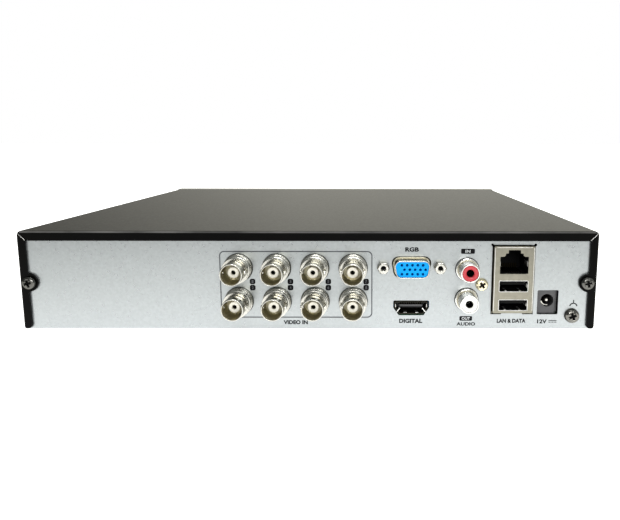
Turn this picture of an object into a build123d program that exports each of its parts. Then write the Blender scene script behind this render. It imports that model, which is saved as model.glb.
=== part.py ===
from build123d import *
import math
import os

# A compact eight-channel video recorder, in millimetres.
# Working frame: X to the right seen from the front, Y towards the connectors, Z up.
# y = 0 is where the cover's rear lips meet the back panel, z = 0 is the tray's underside.
# save() moves every piece so that the origin is on the ground, under the middle of the whole object.

# Enclosure
WIDTH = 255.0
DEPTH = 240.0                # bezel's face to the outside of the cover's rear lips
HEIGHT = 44.6                # tray's underside to the cover's top
COVER_SHEET = 1.0
TRAY_SHEET = 0.8
REAR_BEND = 1.3              # outside radius of the cover's rear bends
SIDE_BEND = 2.0              # outside radius of its two long top bends
PANEL_GAP = 0.1              # between the rear lips and the back panel
SIDE_GAP = 0.3               # between the tray's sides and the cover
BEZEL_DEPTH = 11.8
BEZEL_WALL = 2.2
BEZEL_GROOVE_Z = (13.0, 14.2)
FOOT_HEIGHT = 2.5
FOOT_RADIUS = 9.0
FOOT_X = 106.0
FOOT_INSETS = (27.0, 207.0)  # from the back panel

LIP_OUT = COVER_SHEET
FRONT = LIP_OUT - DEPTH
COVER_FRONT = FRONT + BEZEL_DEPTH + 0.2
COVER_BOTTOM = 0.6
TOP_LIP = 4.3
SIDE_LIP = 3.8
EAR_RADIUS = 4.2
EAR_X = 123.7
EAR_Z = 21.6
COVER_SCREW_X = 123.0
LIP_END = 1.7                # corner radius at the foot of the side lips
PANEL_OUT = -PANEL_GAP
PANEL_IN = PANEL_OUT - TRAY_SHEET
TRAY_X = WIDTH / 2 - COVER_SHEET - SIDE_GAP
TRAY_FRONT = COVER_FRONT + 1.0
TRAY_TOP = HEIGHT - COVER_SHEET - 0.2
TRAY_SIDE = 14.0
TRAY_RETURN = 9.0

# Front lamps behind their window, and the clips that hold the bezel
WINDOW_X = -71.0
LAMP_Z = 26.0
LAMP_RADIUS = 1.5
LAMP_BOARD_Y = (FRONT + 7.0, FRONT + 8.6)
CLIP_WIDTH = 8.0

# Main board
BOARD_X = (-112.5, 46.0)
BOARD_Y = (-97.0, -2.0)
BOARD_BOTTOM = 4.8
BOARD_TOP = 6.4
BOARD_HOLES = ((42.5, -10.0), (-106.0, -24.0), (-90.0, -92.0), (-25.0, -92.0), (42.5, -80.0))
BOARD_SCREW = 1.4
PROCESSOR = (-36.0, -56.0)
BATTERY = (-86.0, -72.0)

# Video jacks: four columns of two
JACK_X = 31.25
JACK_PITCH = 16.9
JACK_ROWS = (28.1, 13.0)     # heights of the upper and lower row
JACK_REACH = 14.1            # mouth beyond the cover's rear lips
JACK_MOUTH = LIP_OUT + JACK_REACH
JACK_FLANGE = 6.3
JACK_STUB = 4.0              # part of the jack inside its housing
JACK_FLOOR = 4.8
BARREL = 4.8
BARREL_NECK = 4.6            # the barrel between its base and the front of the lugs
BARREL_BORE = 4.05
LUG_Y = 10.0
LUG_RADIUS = 1.0
LUG_TIP = 5.5
INSULATOR_FRONT = JACK_MOUTH - 5.0
INSULATOR_RADIUS = 2.35
CONTACT_RADIUS = 1.05
CONTACT_BORE = 0.65

# Monitor port and the digital port below it
MONITOR = (-45.25, 28.5)
MONITOR_SIZE = (16.3, 7.9)
MONITOR_CUTOUT = (18.6, 9.6)
MONITOR_SHEET = 0.5
MONITOR_MOUTH = 6.0
SOCKET_PITCH = 2.29
SOCKET_ROW = 1.98
JACKSCREW_SPACING = 25.0
JACKSCREW_HOLE = 1.42
JACKSCREW_CLEARANCE = 1.75   # holes in the panel and the port's flange
JACKSCREW_FRONT = 3.4
DIGITAL = (-45.3, 9.9)
DIGITAL_SIZE = (15.7, 6.5)
DIGITAL_GAP = 0.4            # between the port's shell and its size above
DIGITAL_SHEET = 0.4

# Audio jacks
AUDIO_X = -69.9
AUDIO_ROWS = (27.5, 13.8)
AUDIO_BARREL = 4.15
AUDIO_SLEEVE = 3.3           # outside of the coloured insert
AUDIO_MOUTH = 9.0
AUDIO_HOLE = 1.65
BRACKET_SCREW = (-76.5, 20.65)

# Network and twin USB stack
STACK_X = -90.2
STACK_WIDTH = 17.8
STACK_Z = (8.0, 38.1)
STACK_SHEET = 0.4
STACK_OUT = 2.0
STACK_BACK = -22.0
STACK_CUTOUT = ((-99.8, -80.8), (7.6, 38.5))
STACK_NOTCH = (4.8, 0.6)     # at the cutout's two lower corners
USB_SIZE = (12.6, 4.8)
USB_ROWS = (20.3, 11.75)
USB_DEPTH = 13.0
USB_TONGUE = 1.2
USB_TONGUE_LIFT = 1.1        # tongue's middle above the opening's middle
NET_FLOOR = 25.9
NET_WIDTH = 12.4
NET_STEPS = (33.55, 35.0, 36.5)
NET_DEPTH = 15.0

# Power jack and ground screw
POWER_X = -106.2
POWER_SIZE = (9.0, 10.7)
POWER_Z = 7.15
POWER_HOLE_Z = 13.15
POWER_BORE = 2.85
POWER_PIN = 1.0
POWER_STEP = 1.1             # strip down one side that is set back
GROUND_SCREW = (-117.2, 6.45)

# Hard drive: 3.5 inch
DRIVE_X = (-95.0, 52.0)
DRIVE_Y = (-221.6, -120.0)
DRIVE_Z = (3.2, 29.3)
DRIVE_LID = 1.2
DRIVE_FLOOR = 8.0
SPINDLE = (-44.2, -170.8)
PLATTER_RADIUS = 47.5
PLATTER_Z = (14.0, 20.0)
PLATTER_THICK = 1.3
HUB_RADIUS = 12.5
SPINDLE_SHAFT = 3.0
ARM_PIVOT = (8.0, -191.0)
ARM_LENGTH = 50.0
ARM_REST = 102.8             # degrees about +Z from +X, heads parked off the platters
PIVOT_SHAFT = 2.5
RUNNING_FIT = 0.05
DRIVE_HOLE_X = (10.7, -33.8)
DRIVE_HOLE_SPAN = 95.25
DRIVE_SCREW = 1.7

# Cables between the drive, the boards and their plugs
CABLE_Z = 8.6
WIRE_RADIUS = 0.8
WIRE_PITCH = 2.0
DATA_CABLE_RADIUS = 1.8
RIBBON_X = -105.0
RIBBON_WIDTH = 12.0
PLUG_FACE = DRIVE_X[1] + 1
PLUG_BACK = PLUG_FACE + 12
DATA_Y = -164.0
POWER_Y = -184.0
DATA_LANE_Y = -115.6
POWER_LANE_Y = -111.5

GROUND_SHIFT = Location((0, -(FRONT + JACK_MOUTH) / 2, FOOT_HEIGHT))

os.makedirs("parts", exist_ok=True)


def save(shape, name):
    export_step(shape.moved(GROUND_SHIFT), f"parts/{name}.step")


def group(solids):
    return Compound(children=solids)


def block(x_range, y_range, z_range):
    size = [high - low for low, high in (x_range, y_range, z_range)]
    centre = [(low + high) / 2 for low, high in (x_range, y_range, z_range)]
    return Pos(*centre) * Box(*size)


def around(centre, width):
    return (centre - width / 2, centre + width / 2)


def rod(x, z, radius, y_range):
    low, high = y_range
    return Pos(x, (low + high) / 2, z) * Rot(90, 0, 0) * Cylinder(radius, high - low)


def post(x, y, radius, z_range):
    low, high = z_range
    return Pos(x, y, (low + high) / 2) * Cylinder(radius, high - low)


def slab(outline, y_range):
    """An outline drawn in X and Z, solid over a range of Y."""
    low, high = y_range
    return Pos(0, high, 0) * extrude(Plane.XZ * outline, high - low)


def polygon(*points):
    return make_face(Polyline(*points, close=True))


def rectangle(across, up):
    return polygon((across[0], up[0]), (across[1], up[0]), (across[1], up[1]), (across[0], up[1]))


def turned(*points):
    """Radius and Y pairs turned about the Y axis."""
    return revolve(polygon(*points), Axis.Y)


def screw(head_radius, head_height, shank_radius, length, turn=0):
    """Cross-recessed pan head standing on y = 0, its shank towards -Y."""
    head = rod(0, 0, head_radius, (0, head_height))
    head = fillet(head.edges().sort_by(Axis.Y)[-1], head_height * 0.5)
    body = head + rod(0, 0, shank_radius, (-length, 0))
    blade = Box(head_radius * 1.15, head_height * 1.2, head_radius * 0.24)
    for angle in (turn, turn + 90):
        body -= Pos(0, head_height, 0) * Rot(0, angle, 0) * blade
    return body


def upright_screw(head_radius, head_height, shank_radius, length):
    """The same screw standing on z = 0, its shank towards -Z."""
    return Rot(90, 0, 0) * screw(head_radius, head_height, shank_radius, length)


def cable(points, radii, section):
    """A cable's section swept along straight runs joined by tangent arcs."""
    path = FilletPolyline(*points, radius=radii)
    return sweep(Plane(origin=path @ 0, z_dir=path % 0, x_dir=(0, 0, 1)) * section, path=path)


def video_jack_centres():
    return [(JACK_X - column * JACK_PITCH, z) for column in range(4) for z in JACK_ROWS]


def monitor_outline(width, height, radius):
    """Rounded D shape, wide at the top, with sides that slope by ten degrees."""
    inset = height * math.tan(math.radians(10))
    half = width / 2
    tall = height / 2
    face = polygon((-half, tall), (half, tall), (half - inset, -tall), (inset - half, -tall))
    return fillet(face.vertices(), radius)


def digital_outline():
    """Flat port shape with its two lower corners cut away."""
    half = DIGITAL_SIZE[0] / 2
    tall = DIGITAL_SIZE[1] / 2
    foot = half - 2.35
    face = polygon((-half, tall), (half, tall), (half, 0.2), (foot, -tall), (-foot, -tall), (-half, 0.2))
    return fillet(face.vertices(), 0.5)


def network_outline():
    """Plug opening with the two steps of its latch above it."""
    top, step_top, latch_top = NET_STEPS
    half = NET_WIDTH / 2
    mouth = polygon((-half, NET_FLOOR), (half, NET_FLOOR), (half, top), (-half, top))
    step = polygon((-4.5, top - 0.1), (4.5, top - 0.1), (3.85, top + 0.6), (3.85, step_top), (-3.85, step_top),
                   (-3.85, top + 0.6))
    latch = polygon((-2.65, top), (2.65, top), (2.65, latch_top), (-2.65, latch_top))
    return Pos(STACK_X, 0) * (mouth + step + latch)


def usb_outline(z):
    return Pos(STACK_X, z) * Rectangle(*USB_SIZE)


# ---- Folded steel enclosure ----

def rear_openings():
    """Every hole through the back panel, drawn in X and Z."""
    holes = [Pos(*centre) * Circle(JACK_FLANGE + 0.2) for centre in video_jack_centres()]
    holes.append(Pos(*MONITOR) * monitor_outline(*MONITOR_CUTOUT, 3.0))
    for side in (-1, 1):
        holes.append(Pos(MONITOR[0] + side * JACKSCREW_SPACING / 2, MONITOR[1]) * Circle(JACKSCREW_CLEARANCE))
    holes.append(Pos(*DIGITAL) * offset(digital_outline(), 0.15))
    holes += [Pos(AUDIO_X, z) * Circle(5.4) for z in AUDIO_ROWS]
    holes.append(Pos(*BRACKET_SCREW) * Circle(1.6))
    (left, right), (bottom, top) = STACK_CUTOUT
    holes.append(rectangle((left, right), (bottom, top)))
    for corner, notch in ((left, (left, left + STACK_NOTCH[0])), (right, (right - STACK_NOTCH[0], right))):
        holes.append(Pos(corner, top) * Circle(0.6))
        holes.append(rectangle(notch, (bottom - STACK_NOTCH[1], bottom + 0.1)))
    power_middle = POWER_Z + POWER_SIZE[1] / 2
    holes.append(Pos(POWER_X, power_middle) * RectangleRounded(POWER_SIZE[0] + 0.4, POWER_SIZE[1] + 0.4, 0.6))
    holes.append(Pos(*GROUND_SCREW) * Circle(1.6))
    holes += [Pos(side * COVER_SCREW_X, EAR_Z) * Circle(1.6) for side in (-1, 1)]
    return holes


def chassis_tray():
    inner_x = TRAY_X - TRAY_SHEET
    full = (-TRAY_X, TRAY_X)
    floor = block(full, (TRAY_FRONT, PANEL_OUT), (0, TRAY_SHEET))
    back = block(full, (PANEL_IN, PANEL_OUT), (0, TRAY_TOP))
    front = block(full, (TRAY_FRONT, TRAY_FRONT + TRAY_SHEET), (0, TRAY_TOP))
    back_return = block(full, (PANEL_OUT - TRAY_RETURN, PANEL_OUT), (TRAY_TOP - TRAY_SHEET, TRAY_TOP))
    front_return = block(full, (TRAY_FRONT, TRAY_FRONT + TRAY_RETURN), (TRAY_TOP - TRAY_SHEET, TRAY_TOP))
    tray = floor + back + front + back_return + front_return
    for low, high in ((-TRAY_X, -inner_x), (inner_x, TRAY_X)):
        tray += block((low, high), (TRAY_FRONT, PANEL_OUT), (0, TRAY_SIDE))
    for x in DRIVE_HOLE_X:
        for side in (-1, 1):
            y = SPINDLE[1] + side * DRIVE_HOLE_SPAN / 2
            rise = DRIVE_Z[0] - TRAY_SHEET
            tray += Pos(x, y, TRAY_SHEET + rise / 2) * Cone(7.0, 5.0, rise)
            tray -= post(x, y, DRIVE_SCREW + 0.1, (-1, 5))
    bends = tray.edges().filter_by(Axis.X).filter_by_position(Axis.Z, -0.01, 0.01)
    tray = fillet(bends.sort_by(Axis.Y)[-1], 1.0)
    for opening in rear_openings():
        tray -= slab(opening, (PANEL_IN - 0.1, PANEL_OUT + 0.1))
    slot = Rot(0, 0, 90) * SlotOverall(24, 3)
    for y in (-55.0, -172.0):
        for index in range(9):
            tray -= Pos(-80 + index * 14, y, -0.1) * extrude(slot, TRAY_SHEET + 0.2)
    front_wall = (TRAY_FRONT - 0.1, TRAY_FRONT + TRAY_SHEET + 0.1)
    tray -= block(around(RIBBON_X, RIBBON_WIDTH + 2), front_wall, around(LAMP_Z - 6, 5))
    for x, z in bezel_clip_places():
        tray -= block(around(x, CLIP_WIDTH + 1), front_wall, around(z, 4))
    return tray


def top_cover():
    length = (COVER_FRONT, LIP_OUT)
    outside = block(around(0, WIDTH), length, (COVER_BOTTOM, HEIGHT))
    outside = fillet(outside.edges().filter_by(Axis.Y).sort_by(Axis.Z)[-2:], SIDE_BEND)
    rear_edges = outside.edges().filter_by_position(Axis.Y, LIP_OUT, LIP_OUT)
    outside = fillet(rear_edges.sort_by(Axis.Z)[1:], REAR_BEND)
    half = WIDTH / 2 - COVER_SHEET
    cover = outside - block((-half, half), (COVER_FRONT - 1, 0), (0, HEIGHT - COVER_SHEET))
    window_half = WIDTH / 2 - SIDE_LIP
    window_top = HEIGHT - TOP_LIP
    window = polygon((-window_half, 0), (window_half, 0), (window_half, window_top), (-window_half, window_top))
    for side in (-1, 1):
        window -= Pos(side * EAR_X, EAR_Z) * Circle(EAR_RADIUS)
    blends = [v for v in window.vertices() if abs(v.Y - EAR_Z) < EAR_RADIUS + 1]
    window = fillet(blends, 1.0)
    cover -= slab(window, (-0.5, LIP_OUT + 0.5))
    for side in (-1, 1):
        cover -= rod(side * COVER_SCREW_X, EAR_Z, 1.8, (-1, LIP_OUT + 1))
        corner = Pos(side * (WIDTH / 2 - 2.4), LIP_OUT, HEIGHT - 2.6)
        cover -= corner * Rot(0, side * 45, 0) * Box(0.35, 2.4, 4.2)
        for edge, inward in ((window_half, 1), (WIDTH / 2, -1)):
            middle = LIP_END / 2
            corner = Pos(side * (edge + inward * middle), COVER_BOTTOM + middle) * Rectangle(LIP_END, LIP_END)
            corner -= Pos(side * (edge + inward * LIP_END), COVER_BOTTOM + LIP_END) * Circle(LIP_END)
            cover -= slab(corner, (-0.5, LIP_OUT + 0.5))
    vent = SlotOverall(11, 2.6)
    for side in (-1, 1):
        for z in (20.0, 28.0):
            for index in range(8):
                place = Pos(side * WIDTH / 2, -60 - index * 16, z) * Rot(0, 90, 0) * Rot(0, 0, 90)
                cover -= place * extrude(vent, 3, both=True)
    return cover


def bezel_clip_places():
    return [(x, z) for x in (-80.0, 80.0) for z in (7.0, 38.0)]


def front_bezel():
    back = FRONT + BEZEL_DEPTH
    bezel = block(around(0, WIDTH), (FRONT, back), (0, HEIGHT))
    bezel = fillet(bezel.edges().filter_by_position(Axis.Y, FRONT - 0.1, FRONT + 0.1), 2.5)
    hollow_z = (BEZEL_WALL, HEIGHT - BEZEL_WALL)
    bezel -= block(around(0, WIDTH - 2 * BEZEL_WALL), (FRONT + BEZEL_WALL, back + 1), hollow_z)
    bezel -= block(around(0, WIDTH + 2), (FRONT - 1, FRONT + 0.8), BEZEL_GROOVE_Z)
    bezel -= indicator_window_block(0)
    root = FRONT + BEZEL_WALL - 0.2
    for x in lamp_places():
        bezel -= rod(x, LAMP_Z, LAMP_RADIUS + 0.2, (FRONT - 1, root + 1))
    tip = TRAY_FRONT + 2.4
    for x, z in bezel_clip_places():
        bezel += block(around(x, CLIP_WIDTH), (root, tip), around(z, 1.8))
        toe = math.copysign(1.2, z - HEIGHT / 2)
        bezel += block(around(x, CLIP_WIDTH), (TRAY_FRONT + TRAY_SHEET + 0.2, tip), around(z + toe, 1.6))
    for side in (-1, 1):
        bezel += rod(WINDOW_X + side * 37, LAMP_Z, 2.5, (root, LAMP_BOARD_Y[0]))
    return bezel


def lamp_places():
    return [WINDOW_X + (index - 1.5) * 14 for index in range(4)]


def indicator_window_block(gap):
    window = block(around(WINDOW_X, 66 - gap), (FRONT - 1, FRONT + 1.2), around(LAMP_Z, 10 - gap))
    return fillet(window.edges().filter_by(Axis.Y), 2.0)


def indicator_window():
    return indicator_window_block(0.1) & block((-200, 200), (FRONT, FRONT + 1.15), (0, HEIGHT))


def rubber_feet():
    feet = []
    for x in (-FOOT_X, FOOT_X):
        for inset in FOOT_INSETS:
            foot = post(x, -inset, FOOT_RADIUS, (-FOOT_HEIGHT, 0))
            foot = chamfer(foot.edges().sort_by(Axis.Z)[0], 0.6)
            feet.append(foot - post(x, -inset, 4.0, (-FOOT_HEIGHT - 1, -FOOT_HEIGHT + 0.8)))
    return feet


# ---- Main board and what is soldered to it ----

def main_board():
    board = block(BOARD_X, BOARD_Y, (BOARD_BOTTOM, BOARD_TOP))
    board = fillet(board.edges().filter_by(Axis.Z), 1.5)
    for x, y in BOARD_HOLES:
        board -= post(x, y, BOARD_SCREW + 0.1, (0, 10))
    return board


def board_standoff(x, y):
    sleeve = extrude(RegularPolygon(3.2, 6), BOARD_BOTTOM - TRAY_SHEET)
    return Pos(x, y, TRAY_SHEET) * sleeve - post(x, y, BOARD_SCREW, (0, 10))


def heat_sink():
    x, y = PROCESSOR
    base = block(around(x, 40), around(y, 40), (BOARD_TOP + 1.6, BOARD_TOP + 4.6))
    for index in range(10):
        base += block(around(x - 18.9 + index * 4.2, 1.2), around(y, 40), (BOARD_TOP + 4, BOARD_TOP + 17))
    return base


def board_chips():
    """Memory beside the processor, two video decoders behind the jacks, then the small control chips."""
    sizes = (
        (-65, -46, 11, 8, 1.1), (-65, -60, 11, 8, 1.1), (22, -40, 14, 14, 1.4), (-2, -40, 14, 14, 1.4),
        (-90, -44, 7, 7, 1.0), (-4, -66, 8, 6, 1.2), (24, -68, 6, 5, 1.5),
    )
    return [block(around(x, w), around(y, d), (BOARD_TOP, BOARD_TOP + h)) for x, y, w, d, h in sizes]


def capacitors():
    """Electrolytic cans near the power jack and the decoders."""
    cans = []
    sizes = (
        (-96, -30, 4, 11), (-84, -30, 4, 11), (-100, -46, 3.15, 7.7), (-100, -56, 3.15, 7.7),
        (34, -56, 3.15, 7.7), (6, -28, 3.15, 7.7),
    )
    for x, y, radius, height in sizes:
        can = post(x, y, radius, (BOARD_TOP, BOARD_TOP + height))
        cans.append(fillet(can.edges().sort_by(Axis.Z)[-1], 0.5))
    return cans


def battery_holder():
    x, y = BATTERY
    ring = block(around(x, 25), around(y, 24), (BOARD_TOP, BOARD_TOP + 4.6))
    return ring - post(x, y, 10.1, (BOARD_TOP + 1.2, BOARD_TOP + 5))


def clock_battery():
    cell = post(*BATTERY, 10.0, (BOARD_TOP + 1.2, BOARD_TOP + 4.4))
    return fillet(cell.edges().sort_by(Axis.Z)[-1], 0.5)


def buzzer():
    can = post(8, -82, 6, (BOARD_TOP, BOARD_TOP + 8.5))
    can = fillet(can.edges().sort_by(Axis.Z)[-1], 0.6)
    return can - post(8, -82, 1.0, (BOARD_TOP + 7, BOARD_TOP + 9))


def board_headers():
    """Drive data, drive power and front lamp connectors along the board's front edge."""
    front = BOARD_Y[0]
    sizes = ((24, 14), (37, 10), (RIBBON_X, RIBBON_WIDTH + 1))
    return [block(around(x, width), (front, front + 8), (BOARD_TOP, BOARD_TOP + 5.4)) for x, width in sizes]


# ---- Connectors in the back panel ----

def video_jack():
    """Bayonet barrel on a base of stepped rings, with its two lugs level with its axis."""
    lug_front = LUG_Y + LUG_RADIUS + 0.1
    barrel = turned(
        (0, -6.0), (JACK_STUB, -6.0), (JACK_STUB, -1.2), (JACK_FLANGE, -1.2), (JACK_FLANGE, 1.7),
        (JACK_FLANGE - 0.3, 2.0), (5.6, 2.0), (5.6, 3.2), (6.0, 3.2), (6.0, 5.2), (5.3, 5.2), (5.3, 6.0),
        (5.75, 6.0), (5.75, 7.8), (4.45, 7.8), (4.45, 8.6), (BARREL_NECK, 8.6), (BARREL_NECK, lug_front),
        (BARREL, lug_front), (BARREL, JACK_MOUTH - 0.3), (BARREL - 0.3, JACK_MOUTH), (BARREL_BORE, JACK_MOUTH),
        (BARREL_BORE, JACK_FLOOR), (0, JACK_FLOOR),
    )
    lugs = Pos(0, LUG_Y, 0) * Rot(0, 90, 0) * Cylinder(LUG_RADIUS, 2 * LUG_TIP)
    return barrel + (lugs - rod(0, 0, BARREL_BORE, (0, JACK_MOUTH)))


def video_jack_insulator():
    shoulder = INSULATOR_FRONT - 0.3
    return turned((CONTACT_RADIUS, JACK_FLOOR), (INSULATOR_RADIUS, JACK_FLOOR), (INSULATOR_RADIUS, shoulder),
                  (INSULATOR_RADIUS - 0.3, INSULATOR_FRONT), (CONTACT_RADIUS, INSULATOR_FRONT))


def video_jack_contact():
    front = INSULATOR_FRONT - 1.2
    return turned((CONTACT_BORE, JACK_FLOOR), (CONTACT_RADIUS, JACK_FLOOR), (CONTACT_RADIUS, front),
                  (CONTACT_BORE, front))


def video_jack_housing(x):
    """Moulded block that carries the two jacks of one column."""
    housing = block(around(x, 15.4), (-20.0, -1.2), (BOARD_TOP, 36.6))
    housing = fillet(housing.edges().filter_by(Axis.Y).sort_by(Axis.Z)[-2:], 1.0)
    for z in JACK_ROWS:
        housing -= rod(x, z, JACK_STUB, (-6.0, 0))
    return housing


def monitor_socket_places():
    """Three rows of five, the middle row half a pitch across."""
    places = []
    for row in (-1, 0, 1):
        shift = 0 if row else -SOCKET_PITCH / 2
        for column in (-2, -1, 0, 1, 2):
            places.append((MONITOR[0] + shift + column * SOCKET_PITCH, MONITOR[1] + row * SOCKET_ROW))
    return places


def monitor_face():
    """The outline inside the port's shell."""
    width, height = [side - 2 * MONITOR_SHEET for side in MONITOR_SIZE]
    return monitor_outline(width, height, 2.1)


def monitor_port_shell():
    flange = fillet(Rectangle(31.0, 12.4).vertices(), 1.5)
    shell = slab(flange, (PANEL_IN - 1.0, PANEL_IN - 0.1))
    shell += slab(monitor_outline(*MONITOR_SIZE, 2.6), (PANEL_IN - 1.0, MONITOR_MOUTH))
    shell -= slab(monitor_face(), (PANEL_IN - 2, MONITOR_MOUTH + 1))
    for side in (-1, 1):
        shell -= rod(side * JACKSCREW_SPACING / 2, 0, JACKSCREW_CLEARANCE, (PANEL_IN - 2, 2))
    return Pos(MONITOR[0], 0, MONITOR[1]) * shell


def monitor_port_insert():
    front = MONITOR_MOUTH - 0.35
    insert = slab(monitor_face(), (PANEL_IN - 1.0, front))
    insert += block(around(0, 30), (PANEL_IN - 9, PANEL_IN - 1.0), (-8.6, 6.2))
    for side in (-1, 1):
        insert -= rod(side * JACKSCREW_SPACING / 2, 0, 2.0, (PANEL_IN - 5, 0))
    insert = Pos(MONITOR[0], 0, MONITOR[1]) * insert
    for x, z in monitor_socket_places():
        insert -= rod(x, z, 0.55, (front - 4.5, front + 1))
    foot = block(around(MONITOR[0], 28), (PANEL_IN - 12, PANEL_IN - 6), (BOARD_TOP + 9, MONITOR[1] - 2))
    leg = block(around(MONITOR[0], 28), (PANEL_IN - 16, PANEL_IN - 12), (BOARD_TOP, MONITOR[1] - 2))
    return insert + foot + leg


def monitor_jackscrew():
    nut = slab(RegularPolygon(2.77, 6), (PANEL_OUT, JACKSCREW_FRONT))
    nut = nut + rod(0, 0, JACKSCREW_HOLE, (PANEL_IN - 4, PANEL_OUT))
    return nut - rod(0, 0, JACKSCREW_HOLE, (0.2, JACKSCREW_FRONT + 1))


def digital_port_shell():
    outer = offset(digital_outline(), -DIGITAL_GAP)
    inner = offset(digital_outline(), -DIGITAL_GAP - DIGITAL_SHEET)
    shell = slab(outer, (-12.0, -0.4)) - slab(inner, (-11.4, 1))
    return Pos(DIGITAL[0], 0, DIGITAL[1]) * shell


def digital_port_tongue():
    x, z = DIGITAL
    back = Pos(x, 0, z) * slab(offset(digital_outline(), -DIGITAL_GAP - DIGITAL_SHEET), (-11.4, -9.0))
    return back + block(around(x, 10.4), (-9.0, -1.8), around(z + 0.7, 1.0))


def audio_jack_barrel():
    return turned(
        (0, -1.2), (5.15, -1.2), (5.15, 0.9), (4.85, 1.2), (AUDIO_BARREL, 1.2),
        (AUDIO_BARREL, AUDIO_MOUTH - 0.3), (AUDIO_BARREL - 0.3, AUDIO_MOUTH), (AUDIO_SLEEVE, AUDIO_MOUTH),
        (AUDIO_SLEEVE, 0), (0, 0),
    )


def audio_jack_insert():
    """Coloured sleeve inside the barrel."""
    front = AUDIO_MOUTH - 0.3
    return turned((0, 0), (AUDIO_SLEEVE, 0), (AUDIO_SLEEVE, front), (AUDIO_HOLE + 0.4, front),
                  (AUDIO_HOLE, front - 0.4), (AUDIO_HOLE, 1), (0, 1))


def audio_jack_block():
    body = block(around(AUDIO_X, 11.4), (-14.0, -1.2), (BOARD_TOP, 34.0))
    ear = block((BRACKET_SCREW[0] - 3.2, AUDIO_X), (-8.0, -1.2), around(BRACKET_SCREW[1], 7.0))
    return body + ear - rod(*BRACKET_SCREW, 1.4, (-7, 0))


def stack_openings():
    openings = [network_outline()]
    openings += [usb_outline(z) for z in USB_ROWS]
    return openings


def stack_shield():
    side = around(STACK_X, STACK_WIDTH)
    inside = around(STACK_X, STACK_WIDTH - 2 * STACK_SHEET)
    shield = block(side, (STACK_BACK, STACK_OUT), (BOARD_TOP, STACK_Z[1]))
    shield -= block(inside, (STACK_BACK + STACK_SHEET, STACK_OUT - STACK_SHEET), (0, STACK_Z[1] - STACK_SHEET))
    shield -= block(around(STACK_X, 40), (PANEL_IN - 0.2, STACK_OUT + 1), (0, STACK_Z[0]))
    for opening in stack_openings():
        shield -= slab(opening, (STACK_OUT - 1, STACK_OUT + 1))
    return shield


def stack_insulator():
    """Moulding inside the shield, with the network cavity above two cavities with tongues."""
    front = STACK_OUT - STACK_SHEET
    back = STACK_BACK + STACK_SHEET
    inside = around(STACK_X, STACK_WIDTH - 2 * STACK_SHEET)
    body = block(inside, (back, front), (STACK_Z[0], STACK_Z[1] - STACK_SHEET))
    body += block(inside, (back, PANEL_IN - 0.2), (BOARD_TOP, STACK_Z[0]))
    body -= slab(network_outline(), (front - NET_DEPTH, front + 1))
    for z in USB_ROWS:
        body -= slab(usb_outline(z), (front - USB_DEPTH, front + 1))
        tongue_z = around(z + USB_TONGUE_LIFT, USB_TONGUE)
        body += block(around(STACK_X, 11.2), (front - USB_DEPTH - 0.1, front - 1.0), tongue_z)
    return body


def port_contacts():
    """Gold-plated strips in the network, USB and digital ports and the ends of the monitor sockets."""
    strips = []
    front = STACK_OUT - STACK_SHEET
    for index in range(8):
        x = STACK_X + (index - 3.5) * 1.02
        base = block(around(x, 0.4), (front - 13, front - 3), (NET_FLOOR, NET_FLOOR + 0.4))
        spring = block(around(x, 0.4), (front - 12.5, front - 11.9), (NET_FLOOR + 0.3, NET_FLOOR + 2.4))
        strips.append(base + spring)
    for z in USB_ROWS:
        under = z + USB_TONGUE_LIFT - USB_TONGUE / 2
        for aside in (-3.5, -1.0, 1.0, 3.5):
            strip_x = around(STACK_X + aside, 1.0)
            strips.append(block(strip_x, (front - 11, front - 2), (under - 0.25, under)))
    for index in range(10):
        x = DIGITAL[0] + (index - 4.5)
        strips.append(block(around(x, 0.5), (-8.5, -2.4), (DIGITAL[1] + 1.2, DIGITAL[1] + 1.4)))
    for x, z in monitor_socket_places():
        strips.append(rod(x, z, 0.55, (MONITOR_MOUTH - 4.85, MONITOR_MOUTH - 3.85)))
    return strips


def power_jack_body():
    face = -1.1
    z_range = (POWER_Z, POWER_Z + POWER_SIZE[1])
    body = block(around(POWER_X, POWER_SIZE[0]), (face - 14, face), z_range)
    body = fillet(body.edges().filter_by(Axis.Y), 0.5)
    edge = POWER_X - POWER_SIZE[0] / 2
    body -= block((edge - 1, edge + POWER_STEP), (face - 1, face + 1), (0, HEIGHT))
    body += block(around(POWER_X, POWER_SIZE[0] - 1), (face - 13, face - 1), (BOARD_TOP, POWER_Z + 1))
    return body - rod(POWER_X, POWER_HOLE_Z, POWER_BORE, (face - 9.5, face + 1))


def power_jack_pin():
    tip = -1.9
    pin = rod(POWER_X, POWER_HOLE_Z, POWER_PIN, (-10.6, tip))
    return fillet(pin.edges().sort_by(Axis.Y)[-1], 0.5)


# ---- Hard drive ----

def drive_cavity(shrink=0):
    """Round platter well joined to the arm bay, drawn in X and Y."""
    well = Pos(*SPINDLE) * Circle(PLATTER_RADIUS + 1.4 - shrink)
    bay = Pos(4, SPINDLE[1]) * RectangleRounded(80 - 2 * shrink, 96 - 2 * shrink, 4)
    return well + bay


def drive_body():
    top = DRIVE_Z[1] - DRIVE_LID
    body = block(DRIVE_X, DRIVE_Y, (DRIVE_Z[0], top))
    body = fillet(body.edges().filter_by(Axis.Z), 2.5)
    body -= Pos(0, 0, DRIVE_FLOOR) * extrude(drive_cavity(), top)
    body += post(*SPINDLE, SPINDLE_SHAFT, (DRIVE_FLOOR - 0.5, 22.0))
    body += post(*ARM_PIVOT, PIVOT_SHAFT, (DRIVE_FLOOR - 0.5, 26.0))
    body -= block((-20, 48), (-212, -130), (DRIVE_Z[0] - 1, DRIVE_Z[0] + 1.4))
    body -= block(*drive_connector_ranges())
    for x in DRIVE_HOLE_X:
        for side in (-1, 1):
            y = SPINDLE[1] + side * DRIVE_HOLE_SPAN / 2
            body -= post(x, y, DRIVE_SCREW, (0, DRIVE_Z[0] + 4.3))
    return body


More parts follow.
